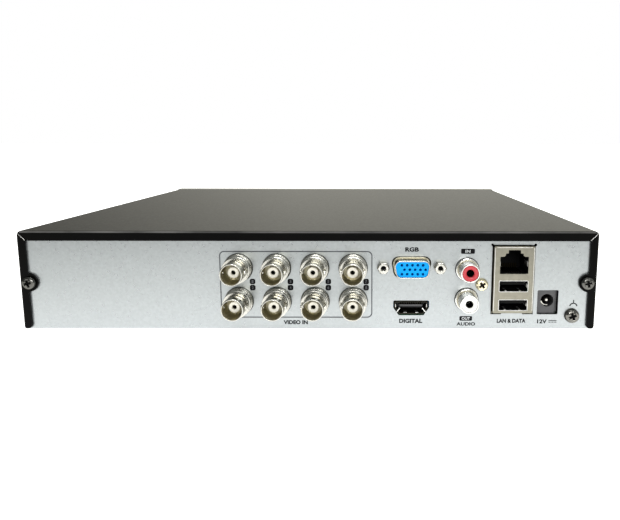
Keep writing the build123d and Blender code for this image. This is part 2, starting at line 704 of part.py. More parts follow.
def drive_connector_ranges():
    return (DRIVE_X[1] - 6, DRIVE_X[1] + 1), (-201.0, -156.0), around(CABLE_Z, 5.6)


def drive_lid():
    lid = block(DRIVE_X, DRIVE_Y, (DRIVE_Z[1] - DRIVE_LID, DRIVE_Z[1]))
    lid = fillet(lid.edges().filter_by(Axis.Z), 2.5)
    groove = Pos(*SPINDLE) * (Circle(30) - Circle(29))
    return lid - Pos(0, 0, DRIVE_Z[1] - 0.4) * extrude(groove, 1)


def drive_hub():
    """Spindle hub with the ledge, spacer and clamp that hold the two platters."""
    low, high = PLATTER_Z
    low_top = low + PLATTER_THICK
    high_top = high + PLATTER_THICK
    bore = SPINDLE_SHAFT + RUNNING_FIT
    hub = revolve(Plane.XZ * polygon(
        (bore, 9.0), (15, 9.0), (16, low), (HUB_RADIUS, low), (HUB_RADIUS, low_top), (15, low_top),
        (15, high), (HUB_RADIUS, high), (HUB_RADIUS, high_top), (16, high_top), (16, 23.0), (10, 24.5),
        (bore, 24.5),
    ), Axis.Z)
    for index in range(6):
        angle = math.radians(60 * index)
        hub -= post(7 * math.cos(angle), 7 * math.sin(angle), 1.2, (23.5, 25))
    return Pos(SPINDLE[0], SPINDLE[1], 0) * hub


def drive_platters():
    discs = []
    for z in PLATTER_Z:
        disc = post(*SPINDLE, PLATTER_RADIUS, (z, z + PLATTER_THICK))
        discs.append(disc - post(*SPINDLE, HUB_RADIUS, (z - 1, z + 3)))
    return discs


def drive_arm():
    """Three blades on one block, with the coil on the other side of the pivot."""
    arm = Cylinder(7, 16, align=(Align.CENTER, Align.CENTER, Align.MIN))
    arm = Pos(0, 0, 9.5) * arm
    blade = polygon((0, -6), (ARM_LENGTH, -1.8), (ARM_LENGTH, 1.8), (0, 6))
    for z in (11.8, 17.1, 22.4):
        arm += Pos(0, 0, z) * extrude(blade, 1.2)
    coil = polygon((-4, -5), (-24, -11), (-24, 11), (-4, 5))
    coil -= polygon((-9, -2.5), (-20, -6), (-20, 6), (-9, 2.5))
    arm += Pos(0, 0, 15.5) * extrude(coil, 3)
    arm -= Cylinder(PIVOT_SHAFT + RUNNING_FIT, 80)
    return Pos(*ARM_PIVOT, 0) * Rot(0, 0, ARM_REST) * arm


def drive_magnets():
    """Curved plates below and above the coil."""
    sector = Circle(25) - Circle(12)
    sector &= polygon((0, 0), (4, -40), (40, -40), (40, -12))
    place = Pos(*ARM_PIVOT, 0)
    return [place * Pos(0, 0, z) * extrude(sector, 4) for z in (DRIVE_FLOOR, 20.0)]


def drive_screws():
    """Four screws from under the tray, up into the drive."""
    blank = Rot(180, 0, 0) * upright_screw(3.2, 1.6, DRIVE_SCREW, 7.2)
    reach = DRIVE_HOLE_SPAN / 2
    return [Pos(x, SPINDLE[1] + side * reach, 0) * blank for x in DRIVE_HOLE_X for side in (-1, 1)]


def drive_board():
    return block((-19.5, 47.5), (-211.5, -130.5), (DRIVE_Z[0] + 0.2, DRIVE_Z[0] + 1.4))


# ---- Cables ----

def cable_plugs():
    """Data and power plugs pushed on to the drive."""
    data = block((PLUG_FACE, PLUG_BACK), around(DATA_Y, 14), around(CABLE_Z, 5.4))
    power = block((PLUG_FACE, PLUG_BACK), around(POWER_Y - 3, 24), around(CABLE_Z, 5.4))
    return [fillet(plug.edges().filter_by(Axis.X), 0.6) for plug in (data, power)]


def data_cable():
    route = ((PLUG_BACK, DATA_Y, CABLE_Z), (82, DATA_Y, CABLE_Z), (82, DATA_LANE_Y, CABLE_Z),
             (24, DATA_LANE_Y, CABLE_Z), (24, BOARD_Y[0], CABLE_Z))
    return cable(route, 7.5, Circle(DATA_CABLE_RADIUS))


def power_wires():
    """Four wires side by side, which keep their spacing round each bend."""
    wires = []
    for index in range(4):
        step = index * WIRE_PITCH
        lane = POWER_LANE_Y + step
        start_y = POWER_Y - step
        far_x = 88 + step
        end_x = 34 + step
        route = ((PLUG_BACK, start_y, CABLE_Z), (far_x, start_y, CABLE_Z), (far_x, lane, CABLE_Z),
                 (end_x, lane, CABLE_Z), (end_x, BOARD_Y[0], CABLE_Z))
        wires.append(cable(route, 5, Circle(WIRE_RADIUS)))
    return wires


def ribbon_cable():
    """Flat cable from the lamp board, down to the tray's floor and along it to the main board."""
    exit_z = LAMP_Z - 6
    side_view = ((LAMP_BOARD_Y[1], exit_z), (-214, exit_z), (-202, 3.2), (-114, 3.2), (-106, CABLE_Z),
                 (BOARD_Y[0], CABLE_Z))
    route = [(RIBBON_X, y, z) for y, z in side_view]
    return cable(route, 4, Rectangle(1.0, RIBBON_WIDTH))


def indicator_board():
    return block(around(WINDOW_X, 84), LAMP_BOARD_Y, around(LAMP_Z, 16))


def indicator_lamps():
    lamps = []
    for x in lamp_places():
        lamp = rod(x, LAMP_Z, LAMP_RADIUS, (FRONT + 1.6, LAMP_BOARD_Y[0]))
        lamps.append(fillet(lamp.edges().sort_by(Axis.Y)[0], 1.2))
    return lamps


# ---- Every piece, written to its own file ----

SINGLE = {
    "chassis_tray": chassis_tray(),
    "top_cover": top_cover(),
    "front_bezel": front_bezel(),
    "indicator_window": indicator_window(),
    "ground_screw": Pos(GROUND_SCREW[0], PANEL_OUT, GROUND_SCREW[1]) * screw(3.2, 2.2, 1.5, 6, 20),
    "main_board": main_board(),
    "processor": block(around(PROCESSOR[0], 21), around(PROCESSOR[1], 21), (BOARD_TOP, BOARD_TOP + 1.6)),
    "heat_sink": heat_sink(),
    "clock_battery": clock_battery(),
    "battery_holder": battery_holder(),
    "buzzer": buzzer(),
    "indicator_board": indicator_board(),
    "front_ribbon_cable": ribbon_cable(),
    "drive_body": drive_body(),
    "drive_lid": drive_lid(),
    "drive_hub": drive_hub(),
    "drive_arm": drive_arm(),
    "drive_board": drive_board(),
    "drive_connector": block(*drive_connector_ranges()),
    "drive_data_cable": data_cable(),
    "monitor_port_shell": monitor_port_shell(),
    "monitor_port_insert": monitor_port_insert(),
    "digital_port_shell": digital_port_shell(),
    "digital_port_tongue": digital_port_tongue(),
    "audio_jack_block": audio_jack_block(),
    "audio_in_insert": Pos(AUDIO_X, 0, AUDIO_ROWS[0]) * audio_jack_insert(),
    "audio_out_insert": Pos(AUDIO_X, 0, AUDIO_ROWS[1]) * audio_jack_insert(),
    "bracket_screw": Pos(BRACKET_SCREW[0], PANEL_OUT, BRACKET_SCREW[1]) * screw(2.75, 1.9, 1.4, 6.5, 35),
    "network_usb_shield": stack_shield(),
    "network_usb_insulator": stack_insulator(),
    "power_jack_body": power_jack_body(),
    "power_jack_pin": power_jack_pin(),
}

for side, name in ((1, "cover_screw_left"), (-1, "cover_screw_right")):
    SINGLE[name] = Pos(side * COVER_SCREW_X, LIP_OUT, EAR_Z) * screw(2.9, 2.0, 1.5, 6, 12)

jack_blank = video_jack()
for number, (x, z) in enumerate(video_jack_centres(), start=1):
    SINGLE[f"video_jack_{number}"] = Pos(x, 0, z) * jack_blank

GROUPS = {
    "rubber_feet": rubber_feet(),
    "board_standoffs": [board_standoff(x, y) for x, y in BOARD_HOLES],
    "board_screws": [Pos(x, y, BOARD_TOP) * upright_screw(2.6, 1.8, BOARD_SCREW, 5.2) for x, y in BOARD_HOLES],
    "board_chips": board_chips(),
    "capacitors": capacitors(),
    "board_headers": board_headers(),
    "indicator_lamps": indicator_lamps(),
    "drive_platters": drive_platters(),
    "drive_magnets": drive_magnets(),
    "drive_screws": drive_screws(),
    "cable_plugs": cable_plugs(),
    "drive_power_cable": power_wires(),
    "video_jack_insulators": [Pos(x, 0, z) * video_jack_insulator() for x, z in video_jack_centres()],
    "video_jack_contacts": [Pos(x, 0, z) * video_jack_contact() for x, z in video_jack_centres()],
    "video_jack_housings": [video_jack_housing(JACK_X - column * JACK_PITCH) for column in range(4)],
    "monitor_port_jackscrews": [
        Pos(MONITOR[0] + side * JACKSCREW_SPACING / 2, 0, MONITOR[1]) * monitor_jackscrew() for side in (-1, 1)
    ],
    "audio_jack_barrels": [Pos(AUDIO_X, 0, z) * audio_jack_barrel() for z in AUDIO_ROWS],
    "port_contacts": port_contacts(),
}

for name, shape in SINGLE.items():
    save(shape, name)
for name, solids in GROUPS.items():
    save(group(solids), name)
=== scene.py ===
import math

import bmesh
import bpy
from mathutils import Matrix, Vector


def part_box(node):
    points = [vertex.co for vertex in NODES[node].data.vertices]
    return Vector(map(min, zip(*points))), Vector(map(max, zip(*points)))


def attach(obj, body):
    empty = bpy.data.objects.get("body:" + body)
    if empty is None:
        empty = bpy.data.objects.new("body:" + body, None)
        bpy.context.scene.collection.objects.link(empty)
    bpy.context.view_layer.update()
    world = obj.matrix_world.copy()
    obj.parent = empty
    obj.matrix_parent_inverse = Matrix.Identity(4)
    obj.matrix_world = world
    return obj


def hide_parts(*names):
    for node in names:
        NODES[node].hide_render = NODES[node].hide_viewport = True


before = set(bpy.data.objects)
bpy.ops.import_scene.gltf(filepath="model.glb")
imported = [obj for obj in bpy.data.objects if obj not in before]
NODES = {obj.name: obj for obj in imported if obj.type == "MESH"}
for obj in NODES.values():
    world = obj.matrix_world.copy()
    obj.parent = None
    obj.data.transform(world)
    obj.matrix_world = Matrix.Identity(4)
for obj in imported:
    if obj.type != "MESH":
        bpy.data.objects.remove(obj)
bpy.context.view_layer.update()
MM = 0.001


# ---- Material building blocks ----

class Tree:
    """A material's node tree, with short calls for the nodes used here."""

    def __init__(self, name):
        self.material = bpy.data.materials.new(name)
        self.material.use_nodes = True
        self.tree = self.material.node_tree
        self.shader = self.tree.nodes["Principled BSDF"]
        self.coords = self.tree.nodes.new("ShaderNodeTexCoord").outputs["Object"]

    def link(self, output, target):
        self.tree.links.new(output, target)

    def set(self, **values):
        for name, value in values.items():
            self.shader.inputs[name.replace("_", " ")].default_value = value

    def stretched(self, scale):
        """Object coordinates scaled along each axis, for a grain that runs one way."""
        mapping = self.tree.nodes.new("ShaderNodeMapping")
        mapping.inputs["Scale"].default_value = scale
        self.link(self.coords, mapping.inputs["Vector"])
        return mapping.outputs["Vector"]

    def noise(self, scale, detail=2.0, roughness=0.5, vector=None):
        node = self.tree.nodes.new("ShaderNodeTexNoise")
        node.inputs["Scale"].default_value = scale
        node.inputs["Detail"].default_value = detail
        node.inputs["Roughness"].default_value = roughness
        self.link(vector or self.coords, node.inputs["Vector"])
        return node.outputs["Fac"]

    def cells(self, scale, feature="F1"):
        node = self.tree.nodes.new("ShaderNodeTexVoronoi")
        node.feature = feature
        node.inputs["Scale"].default_value = scale
        self.link(self.coords, node.inputs["Vector"])
        return node

    def spread(self, fac, low, high, from_low=0.3, from_high=0.7):
        """A number between low and high that follows fac."""
        node = self.tree.nodes.new("ShaderNodeMapRange")
        node.inputs["From Min"].default_value = from_low
        node.inputs["From Max"].default_value = from_high
        node.inputs["To Min"].default_value = low
        node.inputs["To Max"].default_value = high
        self.link(fac, node.inputs["Value"])
        return node.outputs["Result"]

    def ramp(self, fac, *stops):
        """A colour that follows fac through (place, colour) stops."""
        node = self.tree.nodes.new("ShaderNodeValToRGB")
        elements = node.color_ramp.elements
        while len(elements) < len(stops):
            elements.new(0.5)
        for element, (place, colour) in zip(elements, stops):
            element.position = place
            element.color = (*colour, 1.0)
        self.link(fac, node.inputs["Fac"])
        return node.outputs["Color"]

    def mixed(self, fac, colour_a, colour_b):
        """From one colour to the other as fac goes from 0 to 1."""
        node = self.tree.nodes.new("ShaderNodeMix")
        node.data_type = "RGBA"
        self.link(fac, node.inputs["Factor"])
        for socket, value in zip(node.inputs[6:8], (colour_a, colour_b)):
            if isinstance(value, tuple):
                socket.default_value = (*value, 1.0)
            else:
                self.link(value, socket)
        return node.outputs[2]

    def math(self, operation, a, b):
        node = self.tree.nodes.new("ShaderNodeMath")
        node.operation = operation
        for socket, value in zip(node.inputs, (a, b)):
            if isinstance(value, (int, float)):
                socket.default_value = value
            else:
                self.link(value, socket)
        return node.outputs[0]

    def bump(self, height, distance, strength=1.0):
        node = self.tree.nodes.new("ShaderNodeBump")
        node.inputs["Distance"].default_value = distance
        node.inputs["Strength"].default_value = strength
        self.link(height, node.inputs["Height"])
        self.link(node.outputs["Normal"], self.shader.inputs["Normal"])

    def colour(self, output):
        self.link(output, self.shader.inputs["Base Color"])

    def roughness(self, output):
        self.link(output, self.shader.inputs["Roughness"])


def shaded(colour, factor):
    return tuple(min(1.0, channel * factor) for channel in colour)


def powder_coat(name, colour, bend_highlight):
    """Satin paint over steel: a fine orange peel, and paler colour along the bends that is a
    painted highlight.
    """
    t = Tree(name)
    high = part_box("top_cover")[1]
    place = t.tree.nodes.new("ShaderNodeSeparateXYZ")
    t.link(t.coords, place.inputs[0])
    x, y, z = place.outputs
    past_top = t.math("SUBTRACT", z, high.z)
    past_side = t.math("SUBTRACT", t.math("ABSOLUTE", x, 0.0), high.x)
    behind = t.math("ADD", t.math("SUBTRACT", y, high.y), past_top)
    beside = t.math("ADD", past_side, past_top)
    # Metres past the cover's edge, back or sideways and up together, where the painted highlight
    # begins and ends
    rear_bend, side_bend = (-0.00098, -0.00080), (-0.00145, -0.00122)
    rear = t.spread(behind, 0.0, 1.0, *rear_bend)
    side = t.spread(beside, 0.0, 0.5, *side_bend)
    bend_highlight_mask = t.math("MULTIPLY", t.math("MAXIMUM", rear, side), t.spread(t.noise(55, 4), 0.35, 1.0))
    paint = t.ramp(t.noise(35, 3), (0.35, shaded(colour, 0.85)), (0.65, shaded(colour, 1.2)))
    t.colour(t.mixed(bend_highlight_mask, paint, bend_highlight))
    t.roughness(t.spread(t.noise(900, 2), 0.32, 0.36))
    peel = t.math("ADD", t.noise(1500, 2), t.math("MULTIPLY", t.noise(520, 1), 0.5))
    t.bump(peel, 0.00002, 0.5)
    t.set(Specular_IOR_Level=0.05)
    return t.material


def zinc_sheet(name, colour):
    """Zinc-coated steel: faint crystal patches under a fine rolled grain."""
    t = Tree(name)
    patches = t.cells(1100).outputs["Color"]
    clouds = t.math("MULTIPLY", t.noise(700, 4, 0.6), 0.6)
    soft = t.math("ADD", clouds, t.math("MULTIPLY", patches, 0.4))
    t.colour(t.ramp(soft, (0.3, shaded(colour, 0.93)), (0.7, shaded(colour, 1.05))))
    t.roughness(t.spread(soft, 0.27, 0.35))
    rolled = t.noise(900, 3, 0.6, t.stretched((0.12, 1.0, 1.0)))
    t.bump(t.math("ADD", rolled, t.math("MULTIPLY", t.noise(2600, 1), 0.4)), 0.000008, 0.3)
    t.set(Metallic=0.85)
    return t.material


def plated(name, colour, rough=0.2, tint=0.12):
    """Nickel or zinc plate on turned or stamped metal, with thin tarnish."""
    t = Tree(name)
    haze = t.noise(500, 4, 0.6)
    dark, light = shaded(colour, 1.0 - tint), shaded(colour, 1.0 + tint * 0.5)
    t.colour(t.ramp(haze, (0.3, dark), (0.7, light)))
    t.roughness(t.spread(haze, rough - 0.02, rough + 0.03))
    t.bump(t.noise(900, 2), 0.0000006, 0.2)
    t.set(Metallic=1.0, Specular_Tint=(*shaded(colour, 0.95), 1.0))
    return t.material


def moulded(name, colour, rough=0.45, grain=2200, depth=0.00001, variation=0.12, level=0.5):
    """Injection-moulded plastic with a fine spark texture."""
    t = Tree(name)
    dark, light = shaded(colour, 1 - variation), shaded(colour, 1 + variation)
    t.colour(t.ramp(t.noise(160, 3), (0.35, dark), (0.65, light)))
    t.roughness(t.spread(t.noise(300, 3), rough - 0.06, rough + 0.06))
    t.bump(t.noise(grain, 2), depth, 0.6)
    t.set(Specular_IOR_Level=level)
    return t.material


def rubber(name, colour):
    t = Tree(name)
    t.colour(t.ramp(t.noise(400, 4), (0.3, shaded(colour, 0.8)), (0.7, shaded(colour, 1.3))))
    t.roughness(t.spread(t.noise(700, 3), 0.7, 0.9))
    t.bump(t.noise(1800, 3), 0.00003, 0.7)
    return t.material


def circuit_board(name, colour):
    """Solder mask over a maze of copper tracks."""
    t = Tree(name)
    tracks = t.cells(620, "DISTANCE_TO_EDGE").outputs["Distance"]
    lines = t.spread(tracks, 0.0, 1.0, 0.05, 0.12)
    t.colour(t.ramp(lines, (0.0, shaded(colour, 1.6)), (1.0, colour)))
    t.roughness(t.spread(t.noise(200, 2), 0.28, 0.4))
    t.bump(lines, 0.00004, 0.5)
    return t.material


M = {
    # The cover's second colour is the painted highlight along its bends.
    "cover": powder_coat("powder_coat_black", (0.0013, 0.00127, 0.00122), (0.13, 0.126, 0.124)),
    "tray": zinc_sheet("zinc_coated_sheet", (0.37, 0.39, 0.395)),
    "nickel": plated("nickel_plate", (0.53, 0.52, 0.475), 0.17),
    "phono": plated("phono_barrel_nickel", (0.74, 0.735, 0.71), 0.22),
    "screw": plated("bright_zinc", (0.66, 0.66, 0.65), 0.22),
    "ground": plated("earth_screw_zinc", (0.16, 0.155, 0.14), 0.16),
    "brass": plated("yellow_zinc", (0.75, 0.68, 0.48), 0.24),
    "black_screw": plated("black_zinc", (0.03, 0.03, 0.032), 0.3),
    "gold": plated("gold_flash", (0.83, 0.6, 0.24), 0.2),
    "black": moulded("black_moulding", (0.012, 0.012, 0.012), 0.45),
    "bezel": moulded("polished_black", (0.008, 0.008, 0.009), 0.22, 900, 0.000003, level=0.22),
    "window": moulded("smoked_window", (0.02, 0.012, 0.018), 0.1, 700, 0.000002, level=0.7),
    "charcoal": moulded("charcoal_moulding", (0.045, 0.045, 0.047), 0.42),
    "white": moulded("white_moulding", (0.80, 0.80, 0.76), 0.4, variation=0.04),
    "insulator": moulded("insulator_resin", (0.90, 0.87, 0.78), 0.5, variation=0.04),
    "red": moulded("red_moulding", (0.44, 0.03, 0.04), 0.3, variation=0.08),
    "blue": moulded("blue_moulding", (0.002, 0.30, 0.76), 0.5, variation=0.06, level=0.1),
    "cream": moulded("cream_nylon", (0.72, 0.68, 0.55), 0.45, variation=0.05),
    "rubber": rubber("foot_rubber", (0.02, 0.02, 0.02)),
    "board": circuit_board("green_board", (0.008, 0.10, 0.035)),
    "chip": moulded("chip_epoxy", (0.018, 0.018, 0.02), 0.6, 3000),
    "sink": plated("black_anodised", (0.05, 0.05, 0.055), 0.35),
    "can": plated("can_aluminium", (0.62, 0.62, 0.66), 0.3),
    "cell": plated("cell_steel", (0.7, 0.7, 0.7), 0.25),
    "lamp": moulded("clear_lamp", (0.75, 0.8, 0.75), 0.15, variation=0.03),
    "ribbon": moulded("grey_ribbon", (0.42, 0.42, 0.43), 0.5, variation=0.06),
    "data": moulded("red_cable_jacket", (0.42, 0.02, 0.02), 0.45),
    "wire": moulded("wire_jacket", (0.03, 0.03, 0.03), 0.45),
    "casting": plated("drive_casting", (0.36, 0.36, 0.37), 0.42),
    "plate": plated("satin_aluminium", (0.48, 0.48, 0.49), 0.34),
    "mirror": plated("polished_platter", (0.86, 0.86, 0.88), 0.06, 0.02),
    # Painted shade: nickel darkened for the insides of the jack bores, the phono barrels' base
    # groove and the monitor shell's collar.
    "bore": plated("unlit_bore", (0.50, 0.47, 0.36), 0.36, 0.15),
    "shadow": plated("shadowed_nickel", (0.04, 0.038, 0.03), 0.5, 0.3),
    # Painted shade: the gold contacts darkened almost to black for the shade inside the ports.
    "contact": plated("port_gold_in_painted_shade", (0.012, 0.009, 0.004), 0.5, 0.2),
    "shield": plated("formed_nickel", (0.24, 0.228, 0.185), 0.3, 0.14),
    # Bright steel of the springs, and painted highlight for strips along edges, folds and mitres.
    "bare_and_highlight": plated("bare_steel_and_painted_highlight", (0.78, 0.78, 0.75), 0.35),
    "ink": moulded("black_ink", (0.004, 0.004, 0.005), 0.6, 3000, 0.000002, level=0.1),
    "grey_ink": moulded("grey_ink", (0.06, 0.064, 0.07), 0.55, 3000, 0.000002),
    "pale_ink": moulded("pale_ink", (0.50, 0.52, 0.52), 0.55, 3000, 0.000002, 0.05),
    "paper": moulded("label_paper", (0.78, 0.78, 0.76), 0.6, 3000, 0.000002, 0.03),
    # Painted shade: a darker blue for the moulding's floor, seen through the pin holes.
    "socket": moulded("blue_in_painted_shade", (0.004, 0.06, 0.25), 0.5, 2000, 0.000004, 0.1),
    "cover_screw": plated("dark_zinc", (0.11, 0.108, 0.10), 0.16),
    # Black moulding, and painted shade in holes, recesses and threads.
    "deep": moulded("black_and_painted_shade", (0.003, 0.003, 0.003), 0.7, 2000, 0.00001, 0.2, 0.1),
}

MATERIAL_OF = {
    "chassis_tray": "tray", "top_cover": "cover", "front_bezel": "bezel",
    "indicator_window": "window", "rubber_feet": "rubber", "cover_screw_left": "black_screw",
    "cover_screw_right": "black_screw", "ground_screw": "screw", "board_screws": "screw",
    "board_standoffs": "screw", "drive_screws": "screw", "bracket_screw": "brass",
    "main_board": "board", "indicator_board": "board", "drive_board": "board", "processor": "chip",
    "board_chips": "chip", "heat_sink": "sink", "capacitors": "can", "clock_battery": "cell",
    "battery_holder": "black", "buzzer": "black", "drive_connector": "black",
    # The network and bus insulator is black moulding darkened further with painted shade.
    "video_jack_housings": "black", "audio_jack_block": "black", "network_usb_insulator": "deep",
    "digital_port_tongue": "charcoal", "cable_plugs": "black", "board_headers": "cream",
    "power_jack_body": "charcoal", "indicator_lamps": "lamp", "front_ribbon_cable": "ribbon",
    "drive_data_cable": "data", "drive_power_cable": "wire", "drive_body": "casting",
    "drive_lid": "plate", "drive_hub": "plate", "drive_platters": "mirror", "drive_arm": "plate",
    "drive_magnets": "nickel", "monitor_port_shell": "nickel", "monitor_port_jackscrews": "nickel",
    "digital_port_shell": "nickel", "audio_jack_barrels": "phono", "network_usb_shield": "nickel",
    "power_jack_pin": "nickel", "video_jack_insulators": "insulator", "audio_out_insert": "white",
    "audio_in_insert": "red", "monitor_port_insert": "blue", "video_jack_contacts": "gold",
    # The port contacts are gold darkened to painted shade.
    "port_contacts": "contact",
}


def dress(piece, key):
    piece.data.materials.clear()
    piece.data.materials.append(M[key])


for name, node in NODES.items():
    dress(node, MATERIAL_OF.get(name, "nickel"))


# ---- Places, in millimetres from where the cover's lips meet the panel ----

COVER_SHEET = 1.0
PANEL = -0.1                 # outer face of the back panel
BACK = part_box("top_cover")[1].y - COVER_SHEET * MM
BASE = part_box("chassis_tray")[0].z
QUARTER = math.radians(90)


def middle(node):
    """X and Z of a node's middle."""
    low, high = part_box(node)
    return (low.x + high.x) / 2 / MM, ((low.z + high.z) / 2 - BASE) / MM


def put(x, y, z, turn=None):
    """Millimetres about a place turned into metres in the shared frame."""
    place = Vector((x * MM, BACK + y * MM, BASE + z * MM))
    return Matrix.Translation(place) @ (turn or Matrix()).to_4x4() @ Matrix.Scale(MM, 4)


# ---- Mesh building blocks, in millimetres ----

SHARP = math.radians(30)


def soften(bm, width):
    """Rounds every sharp edge of a closed mesh."""
    bmesh.ops.recalc_face_normals(bm, faces=bm.faces)
    sharp = [e for e in bm.edges if len(e.link_faces) == 2 and e.calc_face_angle() > SHARP]
    bmesh.ops.bevel(bm, geom=sharp, offset=width, segments=2, profile=0.5, affect="EDGES",
                    clamp_overlap=True)
    for face in bm.faces:
        face.smooth = True
    return bm


def lathe(profile, soft=0.07, steps=72):
    """Turns (radius, y) points about Y.

    A point's third value is a material's number, which holds from there on.
    """
    bm = bmesh.new()
    rings, numbers, number = [], [], 0
    for radius, y, *key in profile:
        number = key[0] if key else number
        numbers.append(number)
        if radius == 0:
            rings.append([bm.verts.new((0, y, 0))] * steps)
        else:
            angles = [math.tau * step / steps for step in range(steps)]
            rings.append([bm.verts.new((radius * math.cos(a), y, radius * math.sin(a)))
                          for a in angles])
    walls = len(profile) if profile[0][0] > 0 else len(profile) - 1
    for index in range(walls):
        ring, other = rings[index], rings[(index + 1) % len(rings)]
        for step in range(steps):
            after = (step + 1) % steps
            corners = list(dict.fromkeys((ring[step], ring[after], other[after], other[step])))
            if len(corners) > 2:
                bm.faces.new(corners).material_index = numbers[index]
    return soften(bm, soft)


def brick(x_range, y_range, z_range, soft=0.1, number=0):
    bm = bmesh.new()
    bmesh.ops.create_cube(bm, size=1.0)
    ranges = (x_range, y_range, z_range)
    for vertex in bm.verts:
        vertex.co = [(low + high) / 2 + vertex.co[i] * (high - low)
                     for i, (low, high) in enumerate(ranges)]
    for face in bm.faces:
        face.material_index = number
    return soften(bm, soft)


def from_curve(curve):
    """A filled curve's mesh as a closed bmesh."""
    holder = bpy.data.objects.new("outline", curve)
    mesh = bpy.data.meshes.new_from_object(holder)
    bm = bmesh.new()
    bm.from_mesh(mesh)
    bpy.data.objects.remove(holder)
    bpy.data.curves.remove(curve)
    bpy.data.meshes.remove(mesh)
    bmesh.ops.remove_doubles(bm, verts=bm.verts, dist=0.0005)
    return bm


def plate(outlines, y_range, soft=0.1, number=0):
    """A flat piece in X and Z: the first outline is its edge and the rest are holes."""
    low, high = y_range
    curve = bpy.data.curves.new("outline", "CURVE")
    curve.dimensions = "2D"
    curve.fill_mode = "BOTH"
    curve.extrude = (high - low) / 2 - soft
    curve.bevel_depth = soft
    curve.bevel_resolution = 1
    curve.offset = -soft
    for points in outlines:
        spline = curve.splines.new("POLY")
        spline.points.add(len(points) - 1)
        for point, (x, z) in zip(spline.points, points):
            point.co = (x, z, 0, 1)
        spline.use_cyclic_u = True
    bm = from_curve(curve)
    bmesh.ops.rotate(bm, matrix=Matrix.Rotation(QUARTER, 3, "X"), verts=bm.verts)
    bmesh.ops.translate(bm, vec=(0, (low + high) / 2, 0), verts=bm.verts)
    for face in bm.faces:
        face.material_index = number
        face.smooth = True
    return bm


def rounded(corners, radius, steps=6):
    """A closed outline with an arc at each corner."""
    points = []
    for index, corner in enumerate(corners):
        here = Vector(corner)
        back = (Vector(corners[index - 1]) - here).normalized()
        ahead = (Vector(corners[(index + 1) % len(corners)]) - here).normalized()
        half = back.angle(ahead) / 2
        centre = here + (back + ahead).normalized() * radius / math.sin(half)
        start = here + back * radius / math.tan(half) - centre
        sweep = start.angle_signed(here + ahead * radius / math.tan(half) - centre)
        for step in range(steps + 1):
            angle = -sweep * step / steps
            turned = Matrix.Rotation(angle, 2) @ start
            points.append(tuple(centre + turned))
    return points


def circle(x, z, radius, steps=32):
    angles = [math.tau * step / steps for step in range(steps)]
    return [(x + radius * math.cos(a), z + radius * math.sin(a)) for a in angles]


def oblong(x_range, z_range, radius=0.3):
    (left, right), (bottom, top) = x_range, z_range
    return rounded([(left, bottom), (right, bottom), (right, top), (left, top)], radius)


def around(centre, width):
    return centre - width / 2, centre + width / 2


def to_mesh(bm):
    mesh = bpy.data.meshes.new("part")
    bm.to_mesh(mesh)
    return mesh


def cut(bm, tool, operation="DIFFERENCE"):
    """One closed bmesh less another, or what the two share."""
    meshes = [to_mesh(bm), to_mesh(tool)]
    body, knife = [bpy.data.objects.new("cut", mesh) for mesh in meshes]
    for thing in (body, knife):
        bpy.context.scene.collection.objects.link(thing)
    modifier = body.modifiers.new("cut", "BOOLEAN")
    modifier.operation = operation
    modifier.solver = "EXACT"
    modifier.object = knife
    graph = bpy.context.evaluated_depsgraph_get()
    result = bpy.data.meshes.new_from_object(body.evaluated_get(graph))
    made = bmesh.new()
    made.from_mesh(result)
    for thing in (body, knife):
        bpy.data.objects.remove(thing)
    for mesh in (*meshes, result):
        bpy.data.meshes.remove(mesh)
    return made


def piece(name, parts, keys, body="case", slot=None, stands_for=()):
    """An object made of (bmesh, matrix) pairs, with a material for each number."""
    whole = bmesh.new()
    for bm, matrix in parts:
        mesh = to_mesh(bm)
        mesh.transform(matrix)
        whole.from_mesh(mesh)
        bpy.data.meshes.remove(mesh)
    mesh = bpy.data.meshes.new(name)
    whole.to_mesh(mesh)
    for key in keys:
        mesh.materials.append(M[key])
    thing = bpy.data.objects.new(name, mesh)
    bpy.context.scene.collection.objects.link(thing)
    thing.modifiers.new("normals", "WEIGHTED_NORMAL").keep_sharp = True
    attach(thing, body)
    if stands_for:
        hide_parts(*stands_for)
    return thing


# ---- Video jacks ----

MOUTH = 15.1                 # how far the barrels stand out
SOCKET_FLOOR = 4.8           # how far out the bottom of their bore is
LUG_Y = 10.0                 # and the two lugs on their sides
JACK_NODES = [f"video_jack_{number}" for number in range(1, 9)]
JACK_PLACES = [middle(node) for node in JACK_NODES]


def jack_barrel():
    """Stepped base and barrel with two lugs; the inside is painted shade and the grooves painted
    shadow.
    """
    barrel = lathe((
        (0, -6.0), (4.0, -6.0), (4.0, -1.2), (6.3, -1.2), (6.3, 1.7), (6.0, 2.0), (5.6, 2.0, 2),
        (5.6, 3.2, 0), (6.0, 3.2), (6.0, 5.2), (5.3, 5.2, 2), (5.3, 6.0, 0), (5.75, 6.0),
        (5.75, 7.8), (4.45, 7.8, 2), (4.45, 8.6, 0), (4.6, 8.6), (4.6, 11.1), (4.8, 11.1),
        (4.8, MOUTH - 0.2), (4.62, MOUTH), (4.3, MOUTH, 1), (4.3, SOCKET_FLOOR), (0, SOCKET_FLOOR),
    ))
    lug = lathe(((0, 4.1), (1.0, 4.1), (1.0, 5.35), (0.85, 5.5), (0, 5.5)), 0.05, 32)
    sides = [Matrix.Rotation(side * QUARTER, 3, "Z") for side in (-1, 1)]
    return barrel, lug, sides


